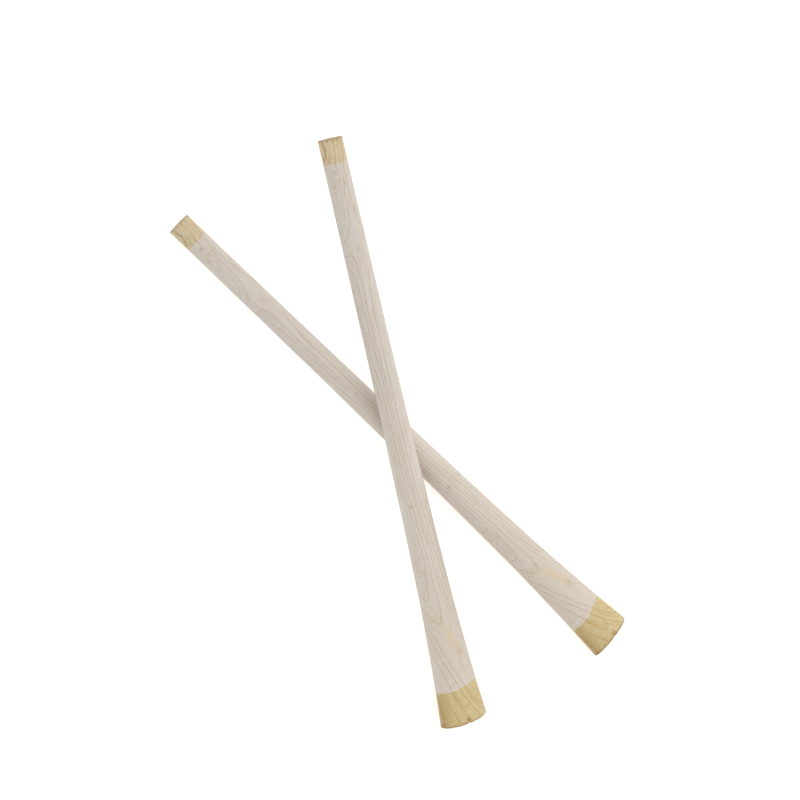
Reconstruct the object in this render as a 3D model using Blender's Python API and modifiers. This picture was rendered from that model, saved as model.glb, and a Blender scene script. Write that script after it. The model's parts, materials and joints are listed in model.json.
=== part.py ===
"""A pair of claves: two solid turned hardwood sticks, laid crossed, one resting on the other.

Each stick is a long taper that opens into a flared head. It is turned as an over-long blank,
sawn to length a little off square at the head, and its two rims are eased.

Frame: metres, +Z up. The pair lies on the plane Z = 0 and its footprint is centred on the origin.
+Y halves the angle between the sticks and points to their narrow ends.
"""
import math

import bpy
from mathutils import Euler, Matrix, Vector
from mathutils.geometry import intersect_line_line

MM = 0.001

# The stick, measured along its axis from the flared head (0) to the narrow end (LENGTH).
LENGTH = 400 * MM
NARROW_RADIUS = 8.25 * MM
TAPER_RISE = 4.1 * MM
TAPER_POWER = 2.2
FLARE_RISE = 3.65 * MM
FLARE_POWER = 8
RIM_ROUND = 1.0 * MM
SAW_SLANT = math.radians(5.3)
SAW_WASTE = 6 * MM

# How the pair lies: the plan angle of each stick from +Y, and where the two axes cross.
HALF_ANGLE = math.radians(16.53)
CROSSING = 0.4965 * LENGTH
REST_GAP = 0.3 * MM

# Mesh resolution.
PROFILE_STEPS = 24
SIDES = 40
RIM_SEGMENTS = 3
SMOOTH_BELOW = math.radians(40)
SOLVER_STEPS = 50

WASHED_WOOD = (0.584, 0.527, 0.462, 1.0)
WOOD_ROUGHNESS = 0.62


def clear_scene():
    for obj in list(bpy.data.objects):
        bpy.data.objects.remove(obj, do_unlink=True)


def new_collection(name):
    collection = bpy.data.collections.new(name)
    bpy.context.scene.collection.children.link(collection)
    return collection


def wood_material(name):
    material = bpy.data.materials.new(name)
    material.use_nodes = True
    shader = material.node_tree.nodes["Principled BSDF"]
    shader.inputs["Base Color"].default_value = WASHED_WOOD
    shader.inputs["Roughness"].default_value = WOOD_ROUGHNESS
    shader.inputs["Metallic"].default_value = 0.0
    return material


def stick_radius(z):
    """Radius at distance z from the head: a swelling taper plus a flare close to the head."""
    along = 1 - z / LENGTH
    return NARROW_RADIUS + TAPER_RISE * along ** TAPER_POWER + FLARE_RISE * along ** FLARE_POWER


def blank_profile():
    """Half outline of the turned blank in the XZ plane, from the narrow end down past the head."""
    heights = [LENGTH - (LENGTH + SAW_WASTE) * i / PROFILE_STEPS for i in range(PROFILE_STEPS + 1)]
    outer = [(stick_radius(z), 0, z) for z in heights]
    return [(0, 0, heights[0])] + outer + [(0, 0, heights[-1])]


def saw_block(name, stick, collection):
    """The waste beyond the head: a block whose top face is the slanted saw cut."""
    size = 4 * stick_radius(0)
    bpy.ops.mesh.primitive_cube_add(size=size)
    block = bpy.context.object
    block.name = name
    for holder in list(block.users_collection):
        holder.objects.unlink(block)
    collection.objects.link(block)
    tilt = Matrix.Rotation(-SAW_SLANT, 4, "Y")
    block.data.transform(tilt @ Matrix.Translation((0, 0, -size / 2)))
    block.parent = stick
    block.hide_render = True
    block.display_type = "WIRE"
    return block


def make_stick(name, parts, cutters):
    """One stick, its axis on local Z from the head's face (0) to the narrow end (LENGTH)."""
    points = blank_profile()
    mesh = bpy.data.meshes.new(name)
    mesh.from_pydata(points, [(i, i + 1) for i in range(len(points) - 1)], [])
    stick = bpy.data.objects.new(name, mesh)
    parts.objects.link(stick)
    mesh.materials.append(wood_material(name + "_wood"))

    turned = stick.modifiers.new("turned", "SCREW")
    turned.axis = "Z"
    turned.steps = SIDES
    turned.render_steps = SIDES
    turned.use_merge_vertices = True
    turned.merge_threshold = 0.01 * MM
    turned.use_smooth_shade = True

    sawn = stick.modifiers.new("sawn", "BOOLEAN")
    sawn.operation = "DIFFERENCE"
    sawn.solver = "EXACT"
    sawn.object = saw_block(name + "_saw", stick, cutters)

    eased = stick.modifiers.new("eased_rims", "BEVEL")
    eased.limit_method = "ANGLE"
    eased.angle_limit = SMOOTH_BELOW
    eased.width = RIM_ROUND
    eased.segments = RIM_SEGMENTS
    return stick


def axis_direction(plan_angle, pitch):
    """Unit vector from the head to the narrow end; a positive pitch lifts the narrow end."""
    level = math.cos(pitch)
    return Vector((math.sin(plan_angle) * level, math.cos(plan_angle) * level, math.sin(pitch)))


def head_height(pitch):
    """Height of the head's centre when its rim touches the ground at this pitch."""
    return stick_radius(RIM_ROUND) * math.cos(pitch) - RIM_ROUND * math.sin(pitch)


def head_centre(plan_angle, pitch):
    """Centre of the head's face, with the plan crossing at X = Y = 0 and the rim on the ground."""
    reach = axis_direction(plan_angle, pitch) * CROSSING
    return Vector((-reach.x, -reach.y, head_height(pitch)))


def lower_pitch():
    """The lower stick lies on both rims, so its axis falls towards the narrow end."""
    drop = stick_radius(RIM_ROUND) - stick_radius(LENGTH - RIM_ROUND)
    return -math.atan2(drop, LENGTH - 2 * RIM_ROUND)


def clearance(upper_pitch):
    """Gap between the two sticks' surfaces where their axes pass closest."""
    low_head = head_centre(-HALF_ANGLE, lower_pitch())
    low_axis = axis_direction(-HALF_ANGLE, lower_pitch())
    high_head = head_centre(HALF_ANGLE, upper_pitch)
    high_axis = axis_direction(HALF_ANGLE, upper_pitch)
    low, high = intersect_line_line(low_head, low_head + low_axis, high_head, high_head + high_axis)
    radii = stick_radius((low - low_head).dot(low_axis)) + stick_radius((high - high_head).dot(high_axis))
    return (high - low).length - radii


def upper_pitch():
    """The upper stick has its head on the ground and leans on the lower one at REST_GAP."""
    low, high = math.radians(1), math.radians(10)
    for _ in range(SOLVER_STEPS):
        middle = (low + high) / 2
        if clearance(middle) < REST_GAP:
            low = middle
        else:
            high = middle
    return (low + high) / 2


def lay_down(stick, plan_angle, pitch, root):
    stick.parent = root
    stick.location = head_centre(plan_angle, pitch)
    stick.rotation_euler = Euler((pitch - math.pi / 2, 0, -plan_angle))


def centre_footprint(root, sticks):
    """Move the pair so that its box stands on Z = 0 with its base centred on the origin."""
    bpy.context.view_layer.update()
    depsgraph = bpy.context.evaluated_depsgraph_get()
    corners = []
    for stick in sticks:
        placed = stick.evaluated_get(depsgraph)
        corners += [placed.matrix_world @ vertex.co for vertex in placed.data.vertices]
    low = Vector([min(corner[k] for corner in corners) for k in range(3)])
    high = Vector([max(corner[k] for corner in corners) for k in range(3)])
    root.location = -Vector(((low.x + high.x) / 2, (low.y + high.y) / 2, low.z))


def main():
    clear_scene()
    parts = new_collection("claves")
    cutters = new_collection("cutters")
    root = bpy.data.objects.new("pair", None)
    parts.objects.link(root)

    struck = make_stick("struck_stick", parts, cutters)
    striking = make_stick("striking_stick", parts, cutters)
    lay_down(struck, -HALF_ANGLE, lower_pitch(), root)
    lay_down(striking, HALF_ANGLE, upper_pitch(), root)
    centre_footprint(root, (struck, striking))
    bpy.context.view_layer.update()


main()
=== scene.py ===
"""Looks for a pair of claves: two turned sticks of pale wood, white-washed and left bare at both ends.

Each stick is one closed turned mesh that carries its real relief: eased and chipped rims, the lap of
the wash, lathe scratches, raised grain and saw marks. One model of the tree's growth rings gives the
grain of the sides and of both end faces, so a line runs over a rim as it does in real wood.

Shapes are worked out in mm in a stick's own frame: side (towards the key light), up, and along (from
the centre of the head's face to the narrow end). The camera, lights and floor are in metres.
"""

import json
import math
from types import SimpleNamespace

import bpy
import numpy as np
from mathutils import Matrix, Vector


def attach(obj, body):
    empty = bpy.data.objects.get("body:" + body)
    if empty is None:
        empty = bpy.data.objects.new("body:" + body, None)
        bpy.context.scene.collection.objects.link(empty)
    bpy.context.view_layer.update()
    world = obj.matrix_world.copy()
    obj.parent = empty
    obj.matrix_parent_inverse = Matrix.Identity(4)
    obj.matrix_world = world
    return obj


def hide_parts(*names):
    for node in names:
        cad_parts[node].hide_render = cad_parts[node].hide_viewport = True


MM = 0.001

# The turned shape, as the CAD has it: a swelling taper plus a flare close to the head.
LENGTH = 400.0
NARROW_RADIUS = 8.25
TAPER_RISE = 4.1
TAPER_POWER = 2.2
FLARE_RISE = 3.65
FLARE_POWER = 8
SAW_SLANT = math.tan(math.radians(5.3))
SLANT_REACH = 60.0
SLANT_PASSES = 3
SHARE_PAST_HEAD = 1.05

# The mesh grid. SIDE_ROWS gives the number of rows passed at each distance from the head.
SIDES = 152
FACE_ROWS = 16
ARC_ROWS = 7
SIDE_ROWS = ((0, 0), (6, 17), (30, 65), (370, 505), (394, 553), (400, 570))

# The rims: rounding at each end, sharper on the side away from the light at the head.
HEAD_RIM = 0.9
HEAD_RIM_SWING = 0.45
NARROW_RIM = 0.7
RIM_FADE = 10.0
FACE_DISH = 0.25

# Relief of the side, in mm. A lobe is (height, lobes around, mm along for each radian that it twists)
# and a wave is (height, radians per mm, phase). On an end face it fades with a power of the radius.
OUT_OF_ROUND = ((0.05, 2, 90), (0.03, 3, -55))
WAVES_ALONG = ((0.04, 0.045, 0.3), (0.03, 0.11, 1.9), (0.012, 0.43, 0.7))
RAISED_GRAIN = 0.02
RELIEF_FADE_POWER = 4

# The saw's marks on the end faces: height in mm, and radians per mm to the side and up.
SAW_MARKS = 0.04
SAW_MARK_RATES = (0.8, 5.2)

# How far the rings bow at the middle of an end face, as a share of its radius.
RING_BOW = 0.45

# Growth rings. A ring's level at a point is climb * up + slope * side + offset, and the last three
# change slowly along the grain: (mm from the head, slope, offset) and (mm from the head, climb).
# They are eased over GRAIN_BLEND mm, and worked out to GRAIN_MARGIN mm beyond both ends.
GRAIN_SLOPE = (
    (0, -0.19, 2.05), (9, -0.20, 1.36), (17, -0.20, 0.90), (34, -0.21, 0.25), (47, -0.12, 0.00),
    (59, -0.03, 0.35), (71, 0.08, 0.20), (83, 0.20, -0.05), (96, 0.27, 0.10), (114, 0.39, -0.10),
    (140, 0.43, -0.65), (165, 0.47, -0.85), (195, 0.47, -0.65), (224, 0.43, -0.75), (249, 0.34, -0.60),
    (279, 0.31, -0.50), (299, 0.23, -0.80), (314, 0.12, -0.90), (324, -0.04, -1.00), (334, 0.10, -0.80),
    (343, 0.19, -1.30), (360, 0.35, -1.70), (378, 0.25, -1.20), (386, 0.20, -1.40), (392, 0.28, -1.80),
    (398, 0.18, -1.60),
)
GRAIN_CLIMB = ((0, -0.07), (25, -0.11), (66, -0.27), (111, -0.29), (161, -0.08), (400, 0.03))
GRAIN_BLEND = 7
GRAIN_MARGIN = 20.0

# The dark late wood of each year: (level, strength). Beyond these the years go on evenly.
YEARS = ((-3.8, 0.70), (-2.9, 0.85), (-1.85, 0.80), (-1.15, 0.90), (0.0, 1.0), (1.5, 0.85))
YEARS_BEYOND = 24
YEAR_STEP = 0.8
YEAR_STRENGTH = 0.6

# The spacing of the years on the surface: the steps over which it is measured, in mm along and in
# levels, and the range it is held to. Lines use it drawn a little towards the usual spacing in mm,
# which makes them somewhat wider where the years are wide.
GRAIN_STEP = 0.5
LEVEL_STEP = 0.05
YEARS_PER_MM = (0.06, 3)
USUAL_SPACING = 2
SPREAD_POWER = 0.85

# Where the wash stops, in mm from the head: a slanted dip at the head, nearly square at the other end.
# Both edges waver by (mm, waves around, phase), and the coat's thickness builds up over COAT_RAMP mm.
HEAD_WASH = 20.1
HEAD_WASH_SLANT = 5.1
HEAD_DIP_POWER = 1.1
HEAD_WASH_WAVES = ((0.35, 2, 1.0), (0.2, 5, 0.4), (0.12, 11, 2))
NARROW_WASH = 382.5
NARROW_WASH_WAVES = ((0.3, 1, 2.2), (0.15, 4, 0.3), (0.08, 9, 1))
COAT = 0.07
COAT_RAMP = 0.4

# Marks on the upper side: (mm from the head, mm to the side, half length, half width, strength).
# They fade out where the side turns down, and a strength above 1 makes a mark solid.
# The rings, the marks and the wash's edges are all laid out as the camera sees them on each stick.
UPPER_FADE = 2
KNOTS_AND_EDGE_SHADE = (
    (377.0, -2.0, 1.3, 1.1, 0.9), (367.6, -4.0, 1.1, 0.8, 0.6), (384.8, -4.4, 1.0, 0.9, 0.6),
    (380.4, -0.7, 0.8, 0.6, 0.5), (371.0, -0.7, 0.9, 0.6, 0.5), (369.6, 2.8, 3.6, 0.45, 0.8),
    (323.4, 2.5, 2.6, 1.9, 0.35), (287.7, -1.1, 0.8, 0.5, 0.7), (262.9, -0.7, 0.8, 0.5, 0.7),
    (234.8, 0.0, 0.8, 0.5, 0.8), (167.7, -1.1, 0.8, 0.5, 0.5), (146.9, -2.2, 1.5, 1.6, 0.6),
    (148.5, 8.0, 0.8, 0.7, 0.6), (121.4, -6.0, 1.0, 1.0, 0.4), (109.3, -7.6, 0.8, 2.0, 0.4),
    (101.3, -4.0, 1.1, 0.9, 0.5), (69.4, 0.3, 1.0, 0.8, 0.7), (45.8, 8.1, 1.0, 0.9, 0.5),
    # The long mark 8 mm from the head and 13.5 mm to the side is a brown band along the head's side away
    # from the key light: partly stain, partly painted shade.
    (45.5, 6.8, 2.5, 2.0, 0.35), (8.0, 4.0, 1.2, 1.6, 0.5), (8.0, -13.5, 9.0, 0.7, 1.3),
    (-1.0, 3.3, 1.7, 1.1, 2.0), (-0.9, -14.0, 1.6, 1.5, 1.6), (396.5, -5.5, 2.6, 0.5, 1.3),
    (392.5, -5.0, 2.8, 0.5, 1.5), (389.0, -5.5, 2.2, 0.5, 1.5), (386.6, -6.7, 1.3, 0.6, 1.4),
)
TAN_PATCHES = (
    (66.0, -1.0, 4.0, 1.8, 0.50), (61.0, 1.5, 4.0, 2.0, 0.65), (56.0, 3.4, 4.0, 2.2, 0.95),
    (51.5, 5.2, 4.0, 2.0, 0.95), (46.5, 7.4, 3.5, 1.9, 0.60), (70.5, -5.8, 2.0, 2.0, 0.50),
)

# Whiter spots of the wash: painted highlights on its lips, drips and the ghost of an earlier lap.
PALE_MARKS_AND_HIGHLIGHTS = (
    (20.3, -1.0, 0.5, 1.7, 0.8), (26.0, -3.4, 0.8, 0.7, 0.9), (22.8, -8.0, 0.4, 3.2, 0.5),
    (27.5, 1.5, 0.6, 0.6, 0.6), (72.5, -5.0, 2.6, 0.5, 0.6), (380.0, -2.6, 0.8, 0.9, 0.35),
)

# Where the rings are hardly seen: inside the narrow end's arch, round the tan patches, along the lit side.
QUIET = (
    (371.0, -5.4, 14.0, 3.9, 1.0), (351.0, -5.6, 14.0, 3.8, 1.0), (337.0, -8.0, 6.0, 1.9, 0.9),
    (331.0, 6.0, 8.0, 3.0, 1.0), (53.0, 7.0, 13.0, 5.0, 1.0), (35.0, 10.0, 11.0, 4.5, 1.0),
    (12.0, -9.0, 12.0, 4.5, 0.8), (35.0, -11.0, 14.0, 3.0, 0.6), (230.0, 6.9, 62.0, 2.5, 1.0),
    (168.0, 8.0, 28.0, 3.0, 1.0),
)

# Where fine dark lines crowd together.
FINE_GRAIN = ((392.0, 4.8, 16.0, 3.4, 1.0), (358.0, 5.6, 22.0, 2.8, 0.7))

# The tables that become attributes of the mesh, by name.
MARK_TABLES = (
    ("knot_and_edge_shade", KNOTS_AND_EDGE_SHADE), ("tan_patch", TAN_PATCHES), ("pale_mark_and_highlight", PALE_MARKS_AND_HIGHLIGHTS), ("fine_grain", FINE_GRAIN),
)

# Tool marks on the upper side: (mm from the head, from side, to side, half width).
SCRATCHES = ((173.0, 2.0, 5.4, 0.35), (41.5, -8.0, -1.3, 0.4), (4.0, 2.2, 6.2, 0.4))
SCRATCH_DEPTH = 0.05
SCRATCH_FADE = 0.8

# Chips out of a rim: (turn in degrees from the side towards up, half width in mm, depth in mm).
# A chip's depth goes partly into the side and partly into the end face.
CHIP_REACH = 1.0
CHIP_INTO_SIDE = 0.6
CHIP_INTO_FACE = 0.7
HEAD_CHIPS = (
    (79, 0.8, 0.7), (62, 0.5, 0.3), (118, 0.6, 0.3), (200, 0.9, 0.5), (285, 1.2, 0.6), (330, 0.6, 0.3),
)
NARROW_CHIPS = (
    (166, 0.6, 0.5), (117, 0.5, 0.4), (83, 0.4, 0.35), (56, 0.6, 0.45), (232, 0.8, 0.4), (301, 0.6, 0.3),
)

# Colours, linear. Washed wood, the grain under the wash, and the bare wood of each end.
WASH = (0.585, 0.534, 0.478, 1)
WASH_HEAD_HALF = (0.625, 0.566, 0.500, 1)
WASH_WARM = (0.562, 0.492, 0.414, 1)
WASH_NEAR_HEAD = (0.610, 0.540, 0.455, 1)
WASH_STREAK = (0.660, 0.625, 0.580, 1)
WASH_LINE = (0.462, 0.350, 0.224, 1)
# Whiter wash for pale marks and scratches, and for the painted highlight along the wash's edge.
WASH_WHITE_AND_HIGHLIGHT = (0.740, 0.700, 0.655, 1)
BARE_HEAD = (0.580, 0.470, 0.252, 1)
# Painted shade: the bare wood's colour on its side away from the key light.
BARE_PAINTED_SHADE = (0.460, 0.345, 0.135, 1)
BARE_HEAD_LINE = (0.430, 0.262, 0.048, 1)
BARE_NARROW = (0.600, 0.520, 0.372, 1)
BARE_NARROW_LINE = (0.370, 0.225, 0.040, 1)
BARE_PALE = (0.680, 0.610, 0.460, 1)
BARE_WARM = (0.540, 0.400, 0.180, 1)
# Knots and dark marks; also the painted shade along the outline.
KNOT_AND_OUTLINE_SHADE_BROWN = (0.340, 0.200, 0.060, 1)
PATCH_TAN = (0.640, 0.492, 0.312, 1)
RIM_BROWN = (0.240, 0.140, 0.050, 1)
END_WOOD = (0.430, 0.320, 0.170, 1)
END_LINE = (0.180, 0.105, 0.040, 1)

# Noise fields of the wood: cells per mm to the side, up and along, then detail and roughness.
CLOUD = ((0.16, 0.16, 0.05), 3.0, 0.5)
MOTTLE = ((1.3, 1.3, 0.5), 4.0, 0.6)
STREAK = ((1.0, 1.0, 0.07), 3.0, 0.6)
BLOTCH = ((0.40, 0.40, 0.15), 3.0, 0.5)
FLECK = ((1.7, 1.7, 0.55), 4.0, 0.65)
PORES = ((2.6, 2.6, 0.30), 2.0, 0.5)
SPECKS = ((3.2, 3.2, 0.4), 3.0, 0.7)
RAGGED = ((0.9, 0.9, 0.5), 4.0, 0.65)
CREEP = ((1.0, 1.0, 0.12), 3.0, 0.6)
RING_WOBBLE = ((0.45, 0.45, 0.10), 3.0, 0.5)
RING_PATCHES = ((0.5, 0.5, 0.035), 2.0, 0.5)
FINE_WOBBLE = ((0.4, 0.4, 0.05), 2.0, 0.5)

# Noises laid out in years instead of mm: detail and roughness.
THREAD_NOISE = (3.0, 0.65)
FINE_LINE_NOISE = (2.0, 0.5)
RAY_NOISE = (3.0, 0.7)

# Lines in the wood, in mm and per year: the late wood's two edges, threads, fine lines and rays.
SOFT_EDGE = 0.9
SOFT_EDGE_POWER = 1.6
CRISP_EDGE = 0.30
RING_WANDER = 0.22
THREADS_PER_YEAR = 7.0
THREAD_LENGTH = 28.0
FINE_LINES_PER_YEAR = 4.0
FINE_LINE_LENGTH = 30.0
FINE_LINE_EDGES = (0.04, 0.28)
RAYS_PER_MM = 2.2

# Stretches in mm over which the colour changes: along the stick, across to the side away from the key
# light, where the bare wood gets painted shade, and inwards from the edge of the wash, which is ragged by
# RAGGED_REACH and gets a painted highlight.
MIDDLE = (180.0, 220.0)
WASH_CHANGE = (170.0, 250.0)
NEAR_HEAD = (60.0, 150.0)
PAINTED_SHADE_SIDE = (-13.0, -5.0)
WASH_START = (-0.15, 0.20)
WASH_LIP_HIGHLIGHT = (0.3, 1.0)
RAGGED_REACH = 1.4

# Layers that show where a noise, or the view edge-on, is high: (where they start, where they are
# full, most). Where most is left out it is 1, or changes over the surface.
PORES_SHOW = (0.60, 0.72)
WASH_WARM_SHOWS = (0.35, 0.70, 0.55)
WASH_STREAK_SHOWS = (0.50, 0.72, 0.55)
WASH_THREAD_SHOWS = (0.50, 0.75, 0.35)
# Painted highlight just inside the wash's edge.
WASH_LIP_HIGHLIGHT_SHOWS = (0.4, 0.6, 0.4)
BARE_WARM_SHOWS = (0.45, 0.70, 0.60)
BARE_THREAD_SHOWS = (0.48, 0.72, 0.50)
PALE_FLECKS_SHOW = (0.50, 0.70)
SAWN_WARM_SHOWS = (0.40, 0.65, 0.5)
SAWN_RAYS_SHOW = (0.50, 0.68, 0.55)
SAWN_SPECKS_SHOW = (0.52, 0.66, 0.60)
# Painted shade along the outline, where the surface is seen edge-on.
OUTLINE_SHADE_SHOWS = (0.62, 1.0, 0.45)

# How strongly the other layers show. A pair is for the side away from the key light, where flecks fade
# into the painted shade, and the rest, or head and narrow half.
NEAR_HEAD_WARMTH = 0.8
WASH_FINE_LINES = 0.60
WASH_PORES = 0.22
BARE_FLECKS = (0.35, 0.55)
BARE_LINES = (0.95, 0.75)
BARE_FINE_LINES = 0.85
BARE_PORES = 0.45
SAWN_LINES = 0.90
PALE_SHARE = 0.85
SCRATCH_SHARE = 0.5

# Values that follow a noise: (low noise, high noise, value at low, value at high).
RING_PATCHINESS = (0.3, 0.7, 0.55, 1.0)
FINE_LINES_COME = (0.35, 0.60, 0.25, 1.0)
PATCH_MOTTLE = (0.30, 0.60, 0.45, 1.0)
KNOT_MOTTLE = (0.40, 0.60, 0.30, 0.95)
MOTTLE_BRIGHTNESS = (0.25, 0.75, 0.945, 1.055)
MOTTLE_ROUGHNESS = (0.3, 0.7, 0.50, 0.62)

# The rim's stain: its share, how that drops as end grain goes from low to high, the noise that its
# creep follows, and the least and most that it creeps, in mm on the head's and the narrow half.
STAIN_SHARE = 0.78
STAIN_ON_END_GRAIN = (0.2, 1.0, 1.0, 0.5)
CREEP_NOISE = (0.44, 0.66)
LEAST_CREEP = (1.6, 0.55)
MOST_CREEP = (2.6, 4.6)

# Fine bump heights in mm, and how the surfaces shine.
LINE_BUMP = 0.020
THREAD_BUMP = 0.030
MOTTLE_BUMP = 0.030
PORE_BUMP = 0.020
COAT_BUMP = 0.040
COAT_ROUGHER = 0.07
WOOD_SPECULAR = 0.3
FLOOR_ROUGHNESS = 0.9
FLOOR_SPECULAR = 0.1

# The studio, in metres and degrees. The camera leans towards the narrow ends.
CAMERA_AIM = Vector((0.0130, 0.0175, 0.0))
CAMERA_DISTANCE = 2.224
CAMERA_LEAN = 5.04
CAMERA_TURN = -29.67
CAMERA_LENS = 149.25
FLOOR_SIZE = 60.0
FLOOR_COLOUR = (0.93, 0.93, 0.93, 1)
FLOOR_GLOW = 0.42
WORLD_LIGHT = 0.82
KEY_PLACE = Vector((1.17, 0.0, 2.21))
KEY_SIZE = 1.8
KEY_POWER = 19


def stick_radius(along):
    """Radius of the turned side at a distance from the head."""
    share = np.clip(1 - along / LENGTH, 0, SHARE_PAST_HEAD)
    return NARROW_RADIUS + TAPER_RISE * share ** TAPER_POWER + FLARE_RISE * share ** FLARE_POWER


def wave(values, terms):
    """A sum of sines: each term is (height, radians per unit, phase)."""
    return sum(height * np.sin(rate * values + phase) for height, rate, phase in terms)


def bump_at(distance, width):
    """A smooth hump, 1 at distance 0, which has died away at about twice its width."""
    return np.exp(-(distance / width) ** 2)


# ---- Where a stick lies, and how the camera sees it ----

def stick_frame(name):
    """The stick's own frame in the row frame, from its two mounts: side, up, along, origin."""
    places = {mount["name"]: Vector(mount["pos_m"]) for mount in frame["record"]["mounts"]}
    origin = places[name + "_head_face"]
    along = (places[name + "_narrow_face"] - origin).normalized()
    side = along.cross(Vector((0, 0, 1))).normalized()
    return side, side.cross(along).normalized(), along, origin


def row_points(body, side, up, along):
    """Points of a stick in the row frame, in metres."""
    across, upward, forward, origin = (np.array(vector) for vector in stick_frame(body))
    local = np.stack([side.ravel(), up.ravel(), along.ravel()], axis=1)
    return origin + MM * (local @ np.stack([across, upward, forward]))


def camera_matrix():
    lean = Matrix.Rotation(-math.radians(CAMERA_LEAN), 4, "X")
    turn = Matrix.Rotation(math.radians(CAMERA_TURN), 4, "Z")
    back = Matrix.Translation((0, 0, CAMERA_DISTANCE))
    return Matrix.Translation(CAMERA_AIM) @ lean @ back @ turn


def picture(points):
    """Where points fall in the camera's picture, at unit distance."""
    inverse = np.array(camera_matrix().inverted())
    local = points @ inverse[:3, :3].T + inverse[:3, 3]
    return local[:, :2] / -local[:, 2:]


def seen_places(body, side, up, along):
    """Side and along of points as the camera sees them, in mm of a stick LENGTH long."""
    head, narrow = picture(row_points(body, np.zeros(2), np.zeros(2), np.array([0, LENGTH])))
    reach = np.hypot(*(narrow - head))
    forward = (narrow - head) / reach
    offset = (picture(row_points(body, side, up, along)) - head) * LENGTH / reach
    seen_side = offset @ np.array([forward[1], -forward[0]])
    return seen_side.reshape(side.shape), (offset @ forward).reshape(side.shape)


# ---- Growth rings ----

def along_stations(stations, column, along):
    """A value given at stations along the stick, eased over a few mm so that it has no kinks."""
    grid = np.arange(-GRAIN_MARGIN, LENGTH + GRAIN_MARGIN + 1)
    places = [station[0] for station in stations]
    values = np.interp(grid, places, [station[column] for station in stations])
    window = np.hanning(2 * GRAIN_BLEND + 1)
    padded = np.pad(values, GRAIN_BLEND, mode="edge")
    return np.interp(along, grid, np.convolve(padded, window / window.sum(), mode="valid"))


def grain(along):
    """Climb, slope and offset of the rings at a distance from the head."""
    climb = along_stations(GRAIN_CLIMB, 1, along)
    return climb, along_stations(GRAIN_SLOPE, 1, along), along_stations(GRAIN_SLOPE, 2, along)


def ring_level(side, up, along):
    climb, slope, offset = grain(along)
    return climb * up + slope * side + offset


def year_tables():
    """Levels of the dark lines, their year numbers and their strengths, with the even years beyond."""
    first, last = YEARS[0][0], YEARS[-1][0]
    steps = YEAR_STEP * np.arange(1, YEARS_BEYOND + 1)
    levels = np.concatenate([first - steps[::-1], [year[0] for year in YEARS], last + steps])
    faint = np.full(YEARS_BEYOND, YEAR_STRENGTH)
    strengths = np.concatenate([faint, [year[1] for year in YEARS], faint])
    return levels, np.arange(len(levels), dtype=float), strengths


def line_spread(side, up, along, end_grain, level):
    """How wide a year looks on the surface, in mm, drawn towards the usual spacing."""
    levels, numbers, _ = year_tables()
    climb, slope, _ = grain(along)
    drift = ring_level(side, up, along + GRAIN_STEP) - ring_level(side, up, along - GRAIN_STEP)
    drift = drift / (2 * GRAIN_STEP)
    outward = (slope * side + climb * up) / np.maximum(np.hypot(side, up), 1e-6)
    across = np.maximum(slope ** 2 + climb ** 2 - outward ** 2 * (1 - end_grain), 0)
    per_mm = np.sqrt(across + drift ** 2 * (1 - end_grain))
    ahead = np.interp(level + LEVEL_STEP, levels, numbers)
    behind = np.interp(level - LEVEL_STEP, levels, numbers)
    spacing = 1 / np.clip(per_mm * (ahead - behind) / (2 * LEVEL_STEP), *YEARS_PER_MM)
    return USUAL_SPACING * (spacing / USUAL_SPACING) ** SPREAD_POWER


def ring_attributes(side, up, along, end_grain, bow):
    """Year number, line strength and the spread of a line in mm, at each point."""
    levels, numbers, strengths = year_tables()
    climb, slope, _ = grain(along)
    level = ring_level(side, up, along) + np.hypot(climb, slope) * bow
    year = np.interp(level, levels, numbers)
    strength = np.interp(year, numbers, strengths) * (1 - marks(QUIET, side, up, along))
    return year, strength, line_spread(side, up, along, end_grain, level)


# ---- Marks ----

def marks(table, side, up, along):
    """How strongly the marks of a table show at each point of the upper side."""
    total = np.zeros_like(side)
    for place, sideways, half_length, half_width, strength in table:
        hump = bump_at(along - place, half_length) * bump_at(side - sideways, half_width)
        total = np.maximum(total, strength * hump)
    return total * np.clip(up / UPPER_FADE, 0, 1)


def coat_edge(turn, along):
    """Mm inside the washed stretch: negative on the bare ends."""
    dip = np.maximum(np.cos(turn), 0) ** HEAD_DIP_POWER
    head = HEAD_WASH + HEAD_WASH_SLANT * dip + wave(turn, HEAD_WASH_WAVES)
    narrow = NARROW_WASH + wave(turn, NARROW_WASH_WAVES)
    return np.minimum(along - head, narrow - along)


def chips(turn, table, radius):
    """Depth in mm of the chips out of a rim, around the stick."""
    depth = np.zeros_like(turn)
    for degrees, half_width, deepest in table:
        apart = (turn - math.radians(degrees) + np.pi) % (2 * np.pi) - np.pi
        depth = np.maximum(depth, deepest * bump_at(apart * radius, half_width))
    return depth


def scratches(side, up, along):
    """Depth in mm of the tool marks that run part of the way around."""
    depth = np.zeros_like(side)
    for place, start, end, half_width in SCRATCHES:
        inside = np.clip(np.minimum(side - start, end - side) / SCRATCH_FADE, 0, 1)
        depth = np.maximum(depth, SCRATCH_DEPTH * inside * bump_at(along - place, half_width))
    return depth * (up > 0)


# ---- One stick's mesh ----

def row_layout():
    """Rows from the head's face to the narrow face: share of the face, angle of the rim, mm along."""
    share = (np.arange(FACE_ROWS) + 1) / FACE_ROWS
    arc = np.linspace(0, np.pi / 2, ARC_ROWS + 2)[1:-1]
    distances, counts = zip(*SIDE_ROWS)
    side = np.interp(np.arange(counts[-1] + 1), counts, distances)
    shares = np.concatenate([share, np.ones(len(arc) * 2 + len(side)), share[::-1]])
    flat = np.zeros(FACE_ROWS)
    arcs = np.concatenate([flat, arc, np.full(len(side), np.pi / 2), arc[::-1], flat])
    head = np.zeros(FACE_ROWS + len(arc))
    alongs = np.concatenate([head, side, head + LENGTH])
    return shares[:, None], arcs[:, None], alongs[:, None]


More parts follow.
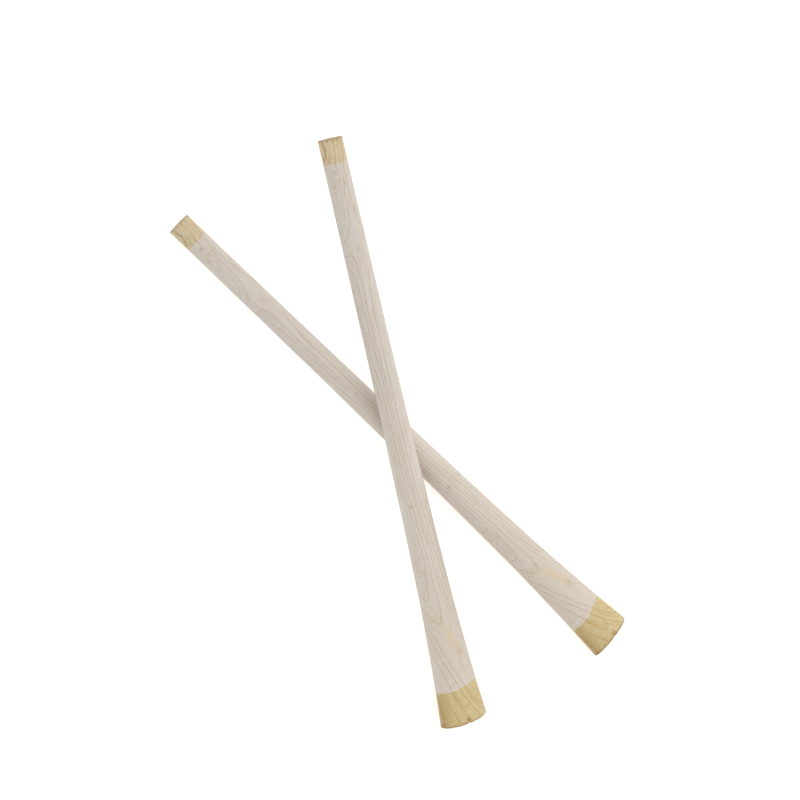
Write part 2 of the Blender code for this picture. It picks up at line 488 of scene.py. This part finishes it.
def relief(body, side, up, along, turn):
    """Mm that the side stands proud of the turned shape."""
    seen_side, seen_along = seen_places(body, side, up, along)
    flat = np.zeros_like(side)
    year, strength, _ = ring_attributes(seen_side, up, seen_along, flat, flat)
    ridge = RAISED_GRAIN * strength * np.cos(2 * np.pi * year)
    lobes = sum(height * np.cos(count * turn + along / twist) for height, count, twist in OUT_OF_ROUND)
    coat = COAT * np.clip(coat_edge(turn, seen_along) / COAT_RAMP + 0.5, 0, 1)
    return ridge + lobes + wave(along, WAVES_ALONG) + coat - scratches(seen_side, up, seen_along)


def turned_shape(shares, arcs, depth, turn, at_head):
    """Side, up, along, mm from the nearer end and edge radius of the plain stick with eased rims."""
    rim = np.where(at_head, HEAD_RIM + HEAD_RIM_SWING * np.cos(turn), NARROW_RIM + 0 * turn)
    inset = rim * (1 - np.sin(arcs))
    depth = depth + rim * (1 - np.cos(arcs)) * np.clip(1 - depth / RIM_FADE, 0, 1)
    slant = SAW_SLANT * np.clip(1 - depth / SLANT_REACH, 0, 1) * at_head
    edge = stick_radius(np.where(at_head, depth, LENGTH - depth))
    for _ in range(SLANT_PASSES):
        edge = stick_radius(np.where(at_head, depth + slant * edge * np.cos(turn), LENGTH - depth))
    radius = shares * (edge - inset)
    side, up = radius * np.cos(turn), radius * np.sin(turn)
    return side, up, np.where(at_head, depth + slant * side, LENGTH - depth), depth, edge


def turned_points(body):
    """Side, up, along and turn of every grid point, its end grain, distance from a rim and bow."""
    shares, arcs, rows = row_layout()
    turn = (2 * np.pi * np.arange(SIDES) / SIDES)[None, :]
    at_head = rows < LENGTH / 2
    depth = np.where(at_head, rows, LENGTH - rows)
    side, up, along, depth, edge = turned_shape(shares, arcs, depth, turn, at_head)
    end_grain = (1 - np.sin(arcs)) * np.ones_like(turn)
    inwards = (1 - shares) * edge

    chip = np.where(at_head, chips(turn, HEAD_CHIPS, edge), chips(turn, NARROW_CHIPS, edge))
    chip = chip * bump_at(depth, CHIP_REACH) * bump_at(inwards, CHIP_REACH)
    proud = relief(body, side, up, along, turn) * shares ** RELIEF_FADE_POWER - CHIP_INTO_SIDE * chip
    side = side + proud * np.cos(turn)
    up = up + proud * np.sin(turn)
    saw = SAW_MARKS * np.sin(SAW_MARK_RATES[0] * side + SAW_MARK_RATES[1] * up)
    hollow = FACE_DISH * (1 - shares ** 2) + CHIP_INTO_FACE * chip + saw * end_grain * (shares < 1)
    along = along + np.where(at_head, hollow, -hollow)
    bow = RING_BOW * edge * (1 - shares ** 2)
    return side, up, along, turn * np.ones_like(side), end_grain, depth + inwards, bow


def grid_faces(rows):
    """Quads between neighbouring rows, and a fan that closes each end, all facing out."""
    here = np.arange((rows - 1) * SIDES)
    right = here - here % SIDES + (here + 1) % SIDES
    quads = np.stack([here, here + SIDES, right + SIDES, right], axis=1).tolist()
    ring = np.arange(SIDES)
    following = (ring + 1) % SIDES
    head_centre, narrow_centre = rows * SIDES, rows * SIDES + 1
    last = (rows - 1) * SIDES
    head = np.stack([np.full(SIDES, head_centre), ring, following], axis=1).tolist()
    narrow = np.stack([np.full(SIDES, narrow_centre), last + following, last + ring], axis=1).tolist()
    return quads + head + narrow


def stick_points(body):
    """The fields of turned_points as plain lists, each followed by its values at the face centres."""
    centres = ((0, 0), (0, 0), (FACE_DISH, LENGTH - FACE_DISH), (0, 0), (1, 1))
    radii = np.array([stick_radius(0), NARROW_RADIUS])
    fields = zip(turned_points(body), centres + (radii, RING_BOW * radii))
    return [np.concatenate([grid.ravel(), centre]) for grid, centre in fields]


def add_attribute(mesh, name, values):
    attribute = mesh.attributes.new(name, "FLOAT", "POINT")
    attribute.data.foreach_set("value", values.astype(np.float32))


def add_vector_attribute(mesh, name, vectors):
    attribute = mesh.attributes.new(name, "FLOAT_VECTOR", "POINT")
    attribute.data.foreach_set("vector", vectors.astype(np.float32).ravel())


def add_attributes(mesh, body, points):
    """What the wood's material needs to know at each point of a stick."""
    side, up, along, turn, end_grain, rim_distance, bow = points
    seen_side, seen_along = seen_places(body, side, up, along)
    seen = seen_side, up, seen_along
    year, strength, spread = ring_attributes(*seen, end_grain, bow)
    climb, slope, _ = grain(seen_along)
    add_vector_attribute(mesh, "place", np.stack([side, up, along], axis=1))
    add_attribute(mesh, "year", year)
    add_attribute(mesh, "line_strength", strength)
    add_attribute(mesh, "line_spread", spread)
    add_attribute(mesh, "ray", (side * climb - up * slope) / np.hypot(climb, slope))
    add_attribute(mesh, "coat_edge", coat_edge(turn, seen_along))
    add_attribute(mesh, "end_grain", end_grain)
    add_attribute(mesh, "rim_distance", rim_distance)
    for name, table in MARK_TABLES:
        add_attribute(mesh, name, marks(table, *seen))
    add_attribute(mesh, "scratch", scratches(*seen) / SCRATCH_DEPTH)


def make_stick(name, body, material):
    """The finished stick that stands for a CAD node and rides on its body."""
    points = stick_points(body)
    rows = (len(points[0]) - 2) // SIDES
    mesh = bpy.data.meshes.new(name)
    mesh.from_pydata(row_points(body, *points[:3]).tolist(), [], grid_faces(rows))
    mesh.shade_smooth()
    add_attributes(mesh, body, points)
    mesh.materials.append(material)

    stick = bpy.data.objects.new(name, mesh)
    bpy.context.scene.collection.objects.link(stick)
    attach(stick, body)
    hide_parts(body)
    return stick


# ---- Materials ----

class Graph:
    """Short calls for building one material's nodes."""

    def __init__(self, name):
        self.material = bpy.data.materials.new(name)
        self.material.use_nodes = True
        self.tree = self.material.node_tree
        self.shader = self.tree.nodes["Principled BSDF"]

    def feed(self, socket, value):
        if isinstance(value, bpy.types.NodeSocket):
            self.tree.links.new(value, socket)
        else:
            socket.default_value = value

    def attribute(self, name, output="Fac"):
        node = self.tree.nodes.new("ShaderNodeAttribute")
        node.attribute_name = name
        return node.outputs[output]

    def math(self, operation, first, second=0.0):
        node = self.tree.nodes.new("ShaderNodeMath")
        node.operation = operation
        self.feed(node.inputs[0], first)
        self.feed(node.inputs[1], second)
        return node.outputs[0]

    def times(self, first, second):
        return self.math("MULTIPLY", first, second)

    def plus(self, first, second):
        return self.math("ADD", first, second)

    def minus(self, first, second):
        return self.math("SUBTRACT", first, second)

    def stretched(self, vector, scales):
        node = self.tree.nodes.new("ShaderNodeVectorMath")
        node.operation = "MULTIPLY"
        self.feed(node.inputs[0], vector)
        node.inputs[1].default_value = scales
        return node.outputs[0]

    def part_of(self, vector, name):
        node = self.tree.nodes.new("ShaderNodeSeparateXYZ")
        self.feed(node.inputs[0], vector)
        return node.outputs[name]

    def combined(self, x, y, z):
        node = self.tree.nodes.new("ShaderNodeCombineXYZ")
        for socket, value in zip(node.inputs, (x, y, z)):
            self.feed(socket, value)
        return node.outputs[0]

    def noise(self, vector, detail, roughness):
        """A noise around 0.5."""
        node = self.tree.nodes.new("ShaderNodeTexNoise")
        node.inputs["Scale"].default_value = 1.0
        node.inputs["Detail"].default_value = detail
        node.inputs["Roughness"].default_value = roughness
        self.feed(node.inputs["Vector"], vector)
        return node.outputs["Fac"]

    def field(self, place, kind):
        """One of the wood's noise fields."""
        scales, detail, roughness = kind
        return self.noise(self.stretched(place, scales), detail, roughness)

    def remap(self, value, low, high, to_low, to_high):
        """An eased step from low to high, held beyond both."""
        node = self.tree.nodes.new("ShaderNodeMapRange")
        node.interpolation_type = "SMOOTHSTEP"
        for socket, number in zip(node.inputs[:5], (value, low, high, to_low, to_high)):
            self.feed(socket, number)
        return node.outputs[0]

    def above(self, value, low, high, most=1.0):
        """0 up to low, and most from high on."""
        return self.remap(value, low, high, 0.0, most)

    def below(self, value, low, high, most=1.0):
        """Most up to low, and 0 from high on."""
        return self.remap(value, low, high, most, 0.0)

    def mix(self, share, first, second, blend="MIX"):
        node = self.tree.nodes.new("ShaderNodeMix")
        node.data_type = "RGBA"
        node.blend_type = blend
        self.feed(node.inputs["Factor"], share)
        for socket, value in zip(self.colour_sockets(node.inputs), (first, second)):
            self.feed(socket, value)
        return self.colour_sockets(node.outputs)[0]

    def colour_sockets(self, sockets):
        return [socket for socket in sockets if socket.type == "RGBA"]

    def bump(self, height, distance):
        node = self.tree.nodes.new("ShaderNodeBump")
        node.inputs["Strength"].default_value = 1.0
        node.inputs["Distance"].default_value = distance
        self.feed(node.inputs["Height"], height)
        return node.outputs[0]

    def edge_on(self):
        """0 where the surface faces the viewer, rising to 1 where it is seen edge-on."""
        return self.tree.nodes.new("ShaderNodeLayerWeight").outputs["Facing"]


def ring_lines(g, wood):
    """Late wood: a line that is crisp on its outer side and fades on its inner side."""
    wobble = g.minus(g.field(wood.place, RING_WOBBLE), 0.5)
    phase = g.math("FRACT", g.plus(wood.year, g.times(wobble, RING_WANDER)))
    spread = g.attribute("line_spread")
    soft = g.below(g.times(phase, spread), 0.0, SOFT_EDGE)
    crisp = g.below(g.times(g.minus(1.0, phase), spread), 0.0, CRISP_EDGE)
    line = g.math("MAXIMUM", g.math("POWER", soft, SOFT_EDGE_POWER), crisp)
    patchy = g.remap(g.field(wood.place, RING_PATCHES), *RING_PATCHINESS)
    return g.times(g.times(line, g.attribute("line_strength")), patchy)


def threads(g, wood):
    """Fine threads of darker wood that follow the rings, as a noise around 0.5."""
    across = g.times(wood.year, THREADS_PER_YEAR)
    along = g.times(wood.along, 1 / THREAD_LENGTH)
    return g.noise(g.combined(across, 0.0, along), *THREAD_NOISE)


def fine_lines(g, wood):
    """Thin dark lines between the late wood, which come and go along the grain."""
    count = g.times(wood.year, FINE_LINES_PER_YEAR)
    phase = g.math("FRACT", g.plus(count, g.field(wood.place, FINE_WOBBLE)))
    line = g.below(g.math("ABSOLUTE", g.minus(phase, 0.5)), *FINE_LINE_EDGES)
    along = g.times(wood.along, 1 / FINE_LINE_LENGTH)
    presence = g.remap(g.noise(g.combined(count, 0.0, along), *FINE_LINE_NOISE), *FINE_LINES_COME)
    return g.times(g.times(line, presence), g.attribute("fine_grain"))


def wood_fields(g):
    """The sockets that the layers of the wood share."""
    wood = SimpleNamespace(place=g.attribute("place", "Vector"), year=g.attribute("year"))
    wood.side = g.part_of(wood.place, "X")
    wood.along = g.part_of(wood.place, "Z")
    wood.end_grain = g.attribute("end_grain")
    wood.line = ring_lines(g, wood)
    wood.thread = threads(g, wood)
    wood.fine = fine_lines(g, wood)
    wood.cloud = g.field(wood.place, CLOUD)
    wood.mottle = g.field(wood.place, MOTTLE)
    wood.blotch = g.field(wood.place, BLOTCH)
    wood.pores = g.above(g.field(wood.place, PORES), *PORES_SHOW)
    return wood


def by_half(g, wood, at_head, at_narrow):
    """One value on the head's half and another on the narrow half."""
    return g.remap(wood.along, *MIDDLE, at_head, at_narrow)


def wash_colour(g, wood):
    """The thin coat: its grain shows as faint tan lines, and it is warmer where it is thin."""
    colour = g.mix(g.above(wood.along, *WASH_CHANGE), WASH_HEAD_HALF, WASH)
    colour = g.mix(g.above(wood.cloud, *WASH_WARM_SHOWS), colour, WASH_WARM)
    colour = g.mix(g.below(wood.along, *NEAR_HEAD, NEAR_HEAD_WARMTH), colour, WASH_NEAR_HEAD)
    colour = g.mix(g.above(g.field(wood.place, STREAK), *WASH_STREAK_SHOWS), colour, WASH_STREAK)
    colour = g.mix(wood.line, colour, WASH_LINE)
    colour = g.mix(g.above(wood.thread, *WASH_THREAD_SHOWS), colour, WASH_LINE)
    colour = g.mix(g.times(wood.fine, WASH_FINE_LINES), colour, WASH_LINE)
    return g.mix(g.times(wood.pores, WASH_PORES), colour, WASH_LINE)


def bare_colour(g, wood):
    """Bare wood: yellow at the head, paler at the narrow end, with orange-brown lines and painted shade on
    the side away from the key light.
    """
    at_narrow = by_half(g, wood, 0.0, 1.0)
    dark = g.mix(at_narrow, BARE_HEAD_LINE, BARE_NARROW_LINE)
    # Pale flecks are fainter in the painted shade on the side away from the key light.
    most_flecks = g.remap(wood.side, *PAINTED_SHADE_SIDE, *BARE_FLECKS)
    flecks = g.above(g.field(wood.place, FLECK), *PALE_FLECKS_SHOW, most_flecks)
    colour = g.mix(at_narrow, BARE_HEAD, BARE_NARROW)
    colour = g.mix(g.above(wood.blotch, *BARE_WARM_SHOWS), colour, BARE_WARM)
    # Painted shade: darker and browner towards the side away from the key light.
    colour = g.mix(g.below(wood.side, *PAINTED_SHADE_SIDE), colour, BARE_PAINTED_SHADE)
    colour = g.mix(flecks, colour, BARE_PALE)
    colour = g.mix(g.times(wood.line, by_half(g, wood, *BARE_LINES)), colour, dark)
    colour = g.mix(g.above(wood.thread, *BARE_THREAD_SHOWS), colour, dark)
    colour = g.mix(g.times(wood.fine, BARE_FINE_LINES), colour, dark)
    return g.mix(g.times(wood.pores, BARE_PORES), colour, dark)


def sawn_colour(g, wood):
    """End grain: darker, with fine pale rays across the rings."""
    across = g.times(g.attribute("ray"), RAYS_PER_MM)
    ray = g.noise(g.combined(across, wood.year, 0.0), *RAY_NOISE)
    colour = g.mix(g.above(wood.blotch, *SAWN_WARM_SHOWS), END_WOOD, BARE_WARM)
    colour = g.mix(g.times(wood.line, SAWN_LINES), colour, END_LINE)
    colour = g.mix(g.above(ray, *SAWN_RAYS_SHOW), colour, BARE_PALE)
    return g.mix(g.above(g.field(wood.place, SPECKS), *SAWN_SPECKS_SHOW), colour, END_LINE)


def lapped_colour(g, wood, inside, covered):
    """Wash over the middle and bare wood at the ends, with a painted highlight along the wash's edge at
    the lap.
    """
    lip_highlight = g.times(covered, g.below(inside, *WASH_LIP_HIGHLIGHT))
    lip_highlight = g.times(lip_highlight, g.above(wood.cloud, *WASH_LIP_HIGHLIGHT_SHOWS))
    wash = g.mix(lip_highlight, wash_colour(g, wood), WASH_WHITE_AND_HIGHLIGHT)
    bare = g.mix(wood.end_grain, bare_colour(g, wood), sawn_colour(g, wood))
    return g.mix(covered, bare, wash)


def marked_colour(g, wood, colour):
    """Adds the pale marks with their painted highlights, scratches, tan patches and knots with a band of
    painted shade by the head, and mottles everything.
    """
    scratch = g.times(g.attribute("scratch"), SCRATCH_SHARE)
    # Pale marks and scratches, with the painted highlights on the wash's lips.
    pale = g.math("MAXIMUM", g.attribute("pale_mark_and_highlight"), scratch)
    colour = g.mix(g.times(pale, PALE_SHARE), colour, WASH_WHITE_AND_HIGHLIGHT)
    patch = g.times(g.attribute("tan_patch"), g.remap(wood.mottle, *PATCH_MOTTLE))
    colour = g.mix(patch, colour, PATCH_TAN)
    # Knots and dark marks, among them a band of stain and painted shade by the head.
    knot_and_edge_shade = g.times(g.attribute("knot_and_edge_shade"), g.remap(wood.mottle, *KNOT_MOTTLE))
    colour = g.mix(knot_and_edge_shade, colour, KNOT_AND_OUTLINE_SHADE_BROWN)
    mottled = g.remap(wood.mottle, *MOTTLE_BRIGHTNESS)
    return g.mix(1.0, colour, g.combined(mottled, mottled, mottled), "MULTIPLY")


def stain_and_outline_shade_colour(g, wood, colour):
    """Handling and saw burn have browned both rims, and the stain creeps into the grain in ticks. Painted
    shade darkens the outline where the surface is seen edge-on.
    """
    least = by_half(g, wood, *LEAST_CREEP)
    most = by_half(g, wood, *MOST_CREEP)
    creep = g.remap(g.field(wood.place, CREEP), *CREEP_NOISE, least, most)
    stain = g.below(g.attribute("rim_distance"), 0.0, creep, STAIN_SHARE)
    stain = g.times(stain, g.remap(wood.end_grain, *STAIN_ON_END_GRAIN))
    colour = g.mix(stain, colour, RIM_BROWN)
    # Painted shade: the colour is a little deeper where the surface is seen edge-on, so that the outline
    # stays clear.
    return g.mix(g.above(g.edge_on(), *OUTLINE_SHADE_SHOWS), colour, KNOT_AND_OUTLINE_SHADE_BROWN)


def wood_height(g, wood, covered):
    """Height of the fine bump, in mm."""
    height = g.times(wood.line, LINE_BUMP)
    height = g.plus(height, g.times(wood.thread, THREAD_BUMP))
    height = g.plus(height, g.times(wood.mottle, MOTTLE_BUMP))
    height = g.minus(height, g.times(wood.pores, PORE_BUMP))
    return g.plus(height, g.times(covered, COAT_BUMP))


def washed_wood():
    g = Graph("washed_wood")
    wood = wood_fields(g)
    ragged = g.times(g.minus(g.field(wood.place, RAGGED), 0.5), RAGGED_REACH)
    inside = g.plus(g.attribute("coat_edge"), ragged)
    covered = g.above(inside, *WASH_START)

    colour = lapped_colour(g, wood, inside, covered)
    colour = marked_colour(g, wood, colour)
    colour = stain_and_outline_shade_colour(g, wood, colour)
    rough = g.plus(g.remap(wood.mottle, *MOTTLE_ROUGHNESS), g.times(covered, COAT_ROUGHER))
    g.feed(g.shader.inputs["Base Color"], colour)
    g.feed(g.shader.inputs["Roughness"], rough)
    g.feed(g.shader.inputs["Normal"], g.bump(wood_height(g, wood, covered), MM))
    g.shader.inputs["Specular IOR Level"].default_value = WOOD_SPECULAR
    return g.material


def floor_material():
    g = Graph("pale_floor")
    g.shader.inputs["Base Color"].default_value = FLOOR_COLOUR
    g.shader.inputs["Emission Color"].default_value = FLOOR_COLOUR
    g.shader.inputs["Emission Strength"].default_value = FLOOR_GLOW
    g.shader.inputs["Roughness"].default_value = FLOOR_ROUGHNESS
    g.shader.inputs["Specular IOR Level"].default_value = FLOOR_SPECULAR
    return g.material


# ---- Studio ----

def make_floor():
    half = FLOOR_SIZE / 2
    corners = [(-half, -half, 0), (half, -half, 0), (half, half, 0), (-half, half, 0)]
    mesh = bpy.data.meshes.new("floor")
    mesh.from_pydata(corners, [], [(0, 1, 2, 3)])
    mesh.materials.append(floor_material())
    floor = bpy.data.objects.new("floor", mesh)
    bpy.context.scene.collection.objects.link(floor)


def make_camera():
    data = bpy.data.cameras.new("camera")
    data.lens = CAMERA_LENS
    camera = bpy.data.objects.new("camera", data)
    bpy.context.scene.collection.objects.link(camera)
    camera.matrix_world = camera_matrix()
    bpy.context.scene.camera = camera


def make_lights():
    world = bpy.data.worlds.new("studio")
    world.use_nodes = True
    background = world.node_tree.nodes["Background"]
    background.inputs["Color"].default_value = (1, 1, 1, 1)
    background.inputs["Strength"].default_value = WORLD_LIGHT
    bpy.context.scene.world = world
    data = bpy.data.lights.new("key", "AREA")
    data.size = KEY_SIZE
    data.energy = KEY_POWER
    key = bpy.data.objects.new("key", data)
    bpy.context.scene.collection.objects.link(key)
    key.location = KEY_PLACE
    key.rotation_euler = (-KEY_PLACE).to_track_quat("-Z", "Y").to_euler()


def set_view():
    view = bpy.context.scene.view_settings
    view.view_transform = "Standard"
    view.look = "None"


with open("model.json") as file:
    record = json.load(file)
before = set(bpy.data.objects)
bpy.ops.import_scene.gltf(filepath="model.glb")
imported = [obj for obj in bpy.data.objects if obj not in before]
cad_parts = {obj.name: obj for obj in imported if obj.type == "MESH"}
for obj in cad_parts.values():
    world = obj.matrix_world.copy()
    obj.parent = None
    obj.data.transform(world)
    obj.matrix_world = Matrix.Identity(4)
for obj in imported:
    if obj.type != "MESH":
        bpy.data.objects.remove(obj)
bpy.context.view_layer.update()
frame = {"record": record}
wood = washed_wood()
make_stick("struck_stick_wood", "struck_stick", wood)
make_stick("striking_stick_wood", "striking_stick", wood)
make_floor()
make_camera()
make_lights()
set_view()
